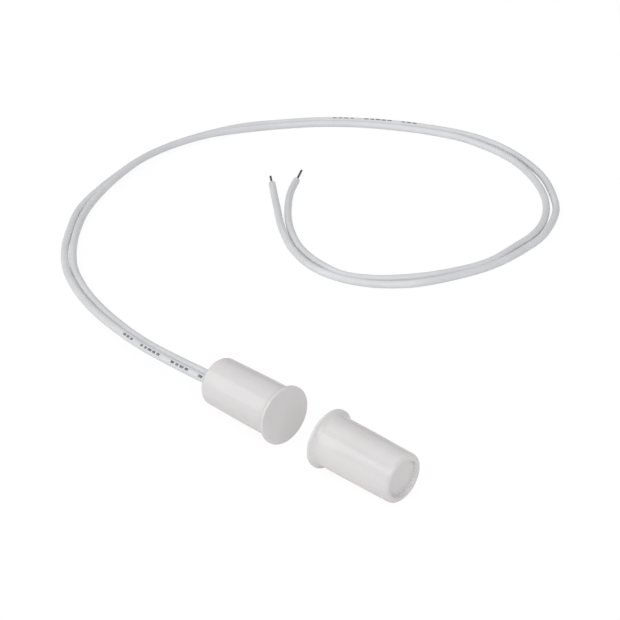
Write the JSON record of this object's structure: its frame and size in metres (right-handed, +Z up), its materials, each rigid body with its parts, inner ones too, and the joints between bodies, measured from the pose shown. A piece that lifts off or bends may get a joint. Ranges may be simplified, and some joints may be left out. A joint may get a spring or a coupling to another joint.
{
  "type": "recessed magnetic contact",
  "caption": "Recessed magnetic contact: a flanged plastic reed switch barrel with thin leads in an open loop, bare at their free ends, beside its matching magnet barrel.",
  "frame": {"origin": "on the surface that both halves lie on, midway between their front faces and in the middle of their box", "axes": "+X along the barrels from the switch half to the magnet half, +Z up from that surface"},
  "size_m": [0.1421, 0.1326, 0.0112],
  "materials": {
    "housing_plastic": "gloss",
    "potting_resin": "satin",
    "capsule_glass": "gloss",
    "reed_wire": "satin",
    "sleeve_plastic": "matte",
    "solder": "satin",
    "conductor_metal": "satin",
    "lead_insulation": "satin",
    "magnet_metal": "satin",
    "adhesive": "satin"
  },
  "bodies": {
    "root": {"switch_housing": "housing_plastic", "potting": "potting_resin", "glass_capsule": "capsule_glass", "front_reed": "reed_wire", "rear_reed": "reed_wire", "reed_sleeve": "sleeve_plastic", "outer_solder": "solder", "inner_solder": "solder", "outer_conductor": "conductor_metal", "inner_conductor": "conductor_metal", "outer_lead": "lead_insulation", "inner_lead": "lead_insulation", "magnet_housing": "housing_plastic", "bar_magnet": "magnet_metal", "magnet_adhesive": "adhesive", "rear_cap": "housing_plastic"}
  },
  "joints": []
}
